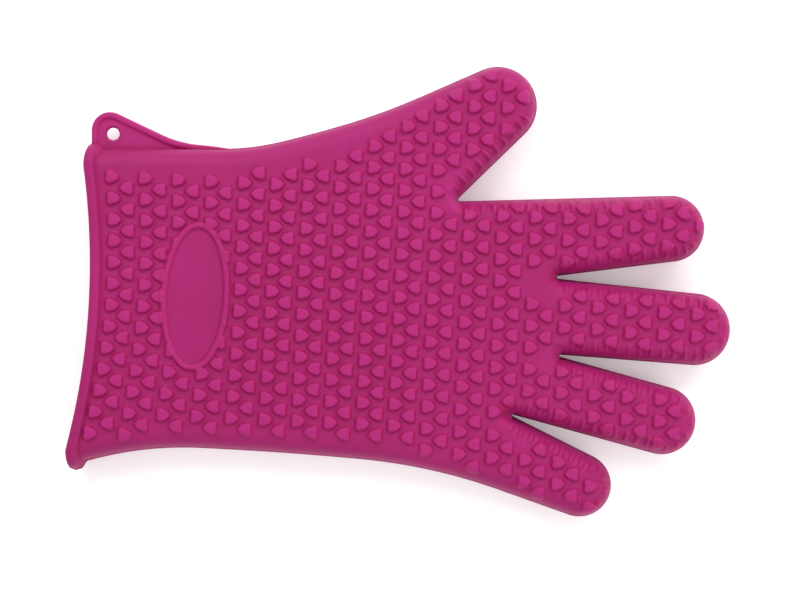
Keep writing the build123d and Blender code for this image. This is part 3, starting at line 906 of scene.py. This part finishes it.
def silicone(name):
    material = bpy.data.materials.new(name)
    material.use_nodes = True
    tree = material.node_tree
    tree.nodes.clear()
    link = tree.links.new
    out = node(tree, "ShaderNodeOutputMaterial", 900)
    shader = node(tree, "ShaderNodeBsdfPrincipled", 600)
    shader.inputs["IOR"].default_value = 1.41
    shader.inputs["Specular IOR Level"].default_value = 0.26
    shader.inputs["Subsurface Weight"].default_value = 0.22
    shader.inputs["Subsurface Radius"].default_value = (1.0, 0.16, 0.35)
    shader.inputs["Subsurface Scale"].default_value = 0.0022
    place = node(tree, "ShaderNodeTexCoord", -900)
    broad = node(tree, "ShaderNodeTexNoise", -700, 200)
    broad.inputs["Scale"].default_value = 22.0
    broad.inputs["Detail"].default_value = 3.0
    link(place.outputs["Object"], broad.inputs["Vector"])
    fine = node(tree, "ShaderNodeTexNoise", -700, -300)
    fine.inputs["Scale"].default_value = 2600.0
    fine.inputs["Detail"].default_value = 2.0
    link(place.outputs["Object"], fine.inputs["Vector"])
    skin_tone = node(tree, "ShaderNodeValToRGB", -450, 250)
    skin_tone.color_ramp.elements[0].position = 0.35
    skin_tone.color_ramp.elements[0].color = srgb(146, 22, 91)
    skin_tone.color_ramp.elements[1].position = 0.68
    skin_tone.color_ramp.elements[1].color = srgb(155, 26, 101)
    link(broad.outputs["Fac"], skin_tone.inputs["Fac"])
    # painted light: studs, ribs, bands, bumps and the tab are mixed towards a lighter pink by their
    # height, for the extra light they catch over the bare skin
    top = node(tree, "ShaderNodeMix", -150, 250, data_type="RGBA")
    top.inputs["B"].default_value = srgb(160, 30, 105)
    raised_light_value = node(tree, "ShaderNodeAttribute", -450, 0, attribute_name="raised")
    link(raised_light_value.outputs["Fac"], top.inputs["Factor"])
    link(skin_tone.outputs["Color"], top.inputs["A"])
    # painted shade: this mix darkens the colour towards a dark red wherever the painted shade
    # attribute is high
    crevice_shade_mix = node(tree, "ShaderNodeMix", 100, 200, data_type="RGBA")
    crevice_shade_mix.inputs["B"].default_value = srgb(150, 6, 68)
    crevice_shade_value = node(tree, "ShaderNodeAttribute", -450, -160, attribute_name="crevice")
    strength = node(tree, "ShaderNodeMath", -200, -160, operation="MULTIPLY")
    strength.inputs[1].default_value = 0.72
    link(crevice_shade_value.outputs["Fac"], strength.inputs[0])
    link(strength.outputs["Value"], crevice_shade_mix.inputs["Factor"])
    link(top.outputs["Result"], crevice_shade_mix.inputs["A"])
    link(crevice_shade_mix.outputs["Result"], shader.inputs["Base Color"])
    bump = node(tree, "ShaderNodeBump", 300, -300)
    bump.inputs["Strength"].default_value = 0.10
    bump.inputs["Distance"].default_value = 0.0002
    link(fine.outputs["Fac"], bump.inputs["Height"])
    link(bump.outputs["Normal"], shader.inputs["Normal"])
    gloss = node(tree, "ShaderNodeMapRange", 100, -60)
    gloss.inputs["To Min"].default_value = 0.50
    gloss.inputs["To Max"].default_value = 0.62
    link(broad.outputs["Fac"], gloss.inputs["Value"])
    link(gloss.outputs["Result"], shader.inputs["Roughness"])
    link(shader.outputs["BSDF"], out.inputs["Surface"])
    return material


SILICONE = silicone("magenta_silicone")


# ======================= pieces =======================

def make_piece(name, co, faces, normals, tones):
    """A mesh object from a part of the skin, in metres, that keeps the whole skin's normals."""
    used, where = np.unique(faces, return_inverse=True)
    mesh = bpy.data.meshes.new(name)
    mesh.from_pydata((co[used] * MM).tolist(), [], where.reshape(faces.shape).tolist())
    mesh.polygons.foreach_set("use_smooth", np.ones(len(faces), bool))
    for label, values in tones.items():
        attribute = mesh.attributes.new(label, "FLOAT", "POINT")
        attribute.data.foreach_set("value", np.clip(values[used], 0, 1).astype(np.float32))
    mesh.materials.append(SILICONE)
    mesh.update()
    mesh.normals_split_custom_set_from_vertices(normals[used].tolist())
    piece = bpy.data.objects.new(name, mesh)
    bpy.context.scene.collection.objects.link(piece)
    return piece


made = {}
tones = {"crevice": all_crevice_shade, "raised": all_raised_light}
for number, name in enumerate(pieces):
    made[name] = make_piece(name, all_co, all_faces[piece_of_face == number], all_normals, tones)


def stand_for(piece, *starts):
    """Hides every CAD node whose name starts in one of these ways, which the piece is shown in place
    of. The piece argument is not used.
    """
    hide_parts(*[n for n in nodes if n.startswith(starts)])


stand_for(made["cuff_skin"], "cuff_shell", "cuff_front", "cuff_back", "wrist_fold")
stand_for(made["palm_skin"], "palm_")
stand_for(made["cuff_bead"], "cuff_bead")
stand_for(made["label_frame"], "label_frame")
for digit in DIGITS:
    name = digit.name
    stand_for(made[name + "_lower_skin"], name + "_root", name + "_base")
    stand_for(made[name + "_tip_skin"], name + "_knuckle", name + "_tip")


# ---- the hanging tab ----
TAB_RIM_WIDE = 2.8
TAB_WEB_HALF = 1.2
TAB_RIM_HALF = 2.1
TAB_ROOT = 0.9         # how far it runs into the side of the glove
HOLE_CENTRE = (-114.5, 63.5)
HOLE_RADIUS = 2.5
TAB_RIM_LINES = (0.15, 0.4, 0.8, 1.4, 2.0, 2.4, 2.8, 3.2)     # mesh lines inside the free edge
TAB_HOLE_LINES = (0.12, 0.35, 0.7, 1.1, 1.5)                  # and round the hole


def tab_outline(step):
    """The free edge of the tab, from the cuff's corner round to where it runs into the side."""
    left, top = -123.3, 72.4
    corner = 7.4
    rise = line_points((left, 56.6), (left, top - corner), step)
    turn = arc_points((left + corner, top - corner), corner, pi, -pi / 2, step)
    crest = tangent_arcs(turn[-1], (1, 0), [(-112.0, 71.4)], step)
    slope_ends = [(-95.0, 63.3), (-79.5, 59.1), (-66.0, 57.3)]
    slope = tangent_arcs(crest[-1], heading(-25.5), slope_ends, step)
    return np.concatenate([rise, turn[1:], crest[1:], slope[1:]])


def tab_piece():
    free = tab_outline(0.5)
    base_x = np.arange(free[-1][0] - 0.8, free[0][0] + 0.4, -0.8)
    top_points = sides[::-1][:600]
    order = np.argsort(top_points[:, 0])
    base_y = np.interp(base_x, top_points[order, 0], top_points[order, 1]) - TAB_ROOT
    base = np.stack([base_x, base_y], 1)
    loop = np.concatenate([free, base])[::-1]
    hole = arc_points(HOLE_CENTRE, HOLE_RADIUS, 0, 2 * pi, 0.5)[:-1]
    spread_tab = Spread(0.5)
    spread_tab.add(loop, 0.0)
    spread_tab.add(hole, 0.0)
    lanes = []
    spans = np.gradient(free, axis=0)
    spans /= np.linalg.norm(spans, axis=1)[:, None]
    for gap in TAB_RIM_LINES:
        lane = free + np.stack([spans[:, 1], -spans[:, 0]], 1) * gap
        lanes.append(lane[inside(lane, loop)])
    for gap in TAB_HOLE_LINES:
        lanes.append(arc_points(HOLE_CENTRE, HOLE_RADIUS + gap, 0, 2 * pi, 0.6)[:-1])
    spread_tab.add(np.concatenate(lanes), 0.24)
    fill = grid(1.0)
    fill = fill[inside(fill, loop)]
    spread_tab.add(fill, 0.5)
    points = np.array(spread_tab.points)
    from_hole = np.hypot(points[:, 0] - HOLE_CENTRE[0], points[:, 1] - HOLE_CENTRE[1])
    keep = (from_hole > HOLE_RADIUS - 0.02) & inside(points, loop)
    keep[:len(loop) + len(hole)] = True
    points = points[keep]
    co, faces = triangulate(points, len(loop))
    middle = co[faces].mean(1)
    middle_gap = np.hypot(middle[:, 0] - HOLE_CENTRE[0], middle[:, 1] - HOLE_CENTRE[1])
    faces = faces[middle_gap > HOLE_RADIUS - 0.05]
    gap_free = np.min(np.linalg.norm(co[:, None] - free[None], axis=2), axis=1)
    gap_hole = np.hypot(co[:, 0] - HOLE_CENTRE[0], co[:, 1] - HOLE_CENTRE[1]) - HOLE_RADIUS
    rim = TAB_RIM_HALF * np.sqrt(1 - (1 - np.clip(gap_free / 0.9, 0, 1)) ** 2)
    rim_share = smooth((TAB_RIM_WIDE + 0.3 - gap_free) / 0.9)
    web = TAB_WEB_HALF + 0.25 * np.exp(-((gap_hole - 0.9) / 0.45) ** 2)
    half = rim_share * rim + (1 - rim_share) * web
    half = half * np.sqrt(1 - (1 - np.clip(gap_hole / 0.7, 0, 1)) ** 2)
    seam = (gap_free < 0.02) | (gap_hole < 0.02)
    half[seam] = 0
    total = len(co)
    other = np.where(seam, np.arange(total), np.arange(total) + total)
    both = np.concatenate([np.column_stack([co, MID_Z + half]),
                           np.column_stack([co, MID_Z - half])])
    all_tab = np.concatenate([faces, other[faces][:, ::-1]])
    # painted shade: the tab is coloured darker just inside its rim, round its hole and where it meets
    # the side of the glove
    tab_shade = 0.7 * np.exp(-((gap_free - TAB_RIM_WIDE - 0.1) / 0.3) ** 2)
    tab_shade = np.maximum(tab_shade, 0.4 * np.exp(-((gap_hole - 1.9) / 0.35) ** 2))
    side_gap = closest_on_sides(co)[0]
    tab_shade = np.maximum(tab_shade, 0.8 * np.exp(-(side_gap / 0.7) ** 2))
    # painted light: the whole tab is coloured as light as a stud top
    tab_light = np.ones(total)
    tab_tones = {"crevice": np.concatenate([tab_shade, tab_shade]),
                 "raised": np.concatenate([tab_light, tab_light])}
    return make_piece("hanging_tab_web", both, all_tab, vertex_normals(both, all_tab), tab_tones)


tab = tab_piece()
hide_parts("hanging_tab")


# ======================= the floor, the light and the camera =======================

def plain(name, colour, roughness):
    material = bpy.data.materials.new(name)
    material.use_nodes = True
    shader = material.node_tree.nodes["Principled BSDF"]
    shader.inputs["Base Color"].default_value = colour
    shader.inputs["Roughness"].default_value = roughness
    shader.inputs["Emission Color"].default_value = colour
    shader.inputs["Emission Strength"].default_value = FLOOR_GLOW
    return material


FLOOR_GLOW = 0.2       # a lit table, so that the gaps between the fingers stay pale
floor_mesh = bpy.data.meshes.new("floor")
FLOOR_HALF = 3.0
floor_corners = [(x * FLOOR_HALF, y * FLOOR_HALF, 0) for x, y in ((-1, -1), (1, -1), (1, 1), (-1, 1))]
floor_mesh.from_pydata(floor_corners, [], [(0, 1, 2, 3)])
floor = bpy.data.objects.new("floor", floor_mesh)
floor_mesh.materials.append(plain("pale_floor", (0.93, 0.93, 0.93, 1), 0.9))
bpy.context.scene.collection.objects.link(floor)

CAMERA_HIGH = 0.62
FRAME_WIDE = 0.3236
camera_data = bpy.data.cameras.new("camera")
camera = bpy.data.objects.new("camera", camera_data)
bpy.context.scene.collection.objects.link(camera)
camera.location = (0.00142, -0.00364, MID_Z * MM + CAMERA_HIGH)
camera_data.sensor_width = 36.0
camera_data.lens = 36.0 * CAMERA_HIGH / FRAME_WIDE
bpy.context.scene.camera = camera


def area_light(name, place, size, power, colour=(1, 1, 1)):
    data = bpy.data.lights.new(name, "AREA")
    data.shape = "DISK"
    data.size = size
    data.energy = power
    data.color = colour
    light = bpy.data.objects.new(name, data)
    light.location = place
    light.rotation_euler = (-Vector(place)).to_track_quat("-Z", "Y").to_euler()
    bpy.context.scene.collection.objects.link(light)
    return light


area_light("key", (-0.25, 0.75, 0.9), 0.7, 6.8)
area_light("fill", (0.7, -0.5, 0.9), 0.9, 4.0)
area_light("rim", (0.6, 0.7, 0.5), 0.5, 3.0)
world = bpy.data.worlds.new("studio")
bpy.context.scene.world = world
world.use_nodes = True
world.node_tree.nodes["Background"].inputs["Color"].default_value = (1, 1, 1, 1)
world.node_tree.nodes["Background"].inputs["Strength"].default_value = 0.8
bpy.context.scene.view_settings.view_transform = "Standard"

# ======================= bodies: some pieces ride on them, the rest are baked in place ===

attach(made["palm_skin"], "palm")
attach(made["cuff_bead"], "cuff")
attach(made["label_frame"], "cuff")
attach(tab, "cuff")
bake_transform(made["cuff_skin"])
for digit in DIGITS:
    base, tip = digit.name + "_base", digit.name + "_tip"
    for name, first, second, hinge in (("_lower_skin", "palm", base, digit.root),
                                       ("_tip_skin", base, tip, digit.middle)):
        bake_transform(made[digit.name + name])
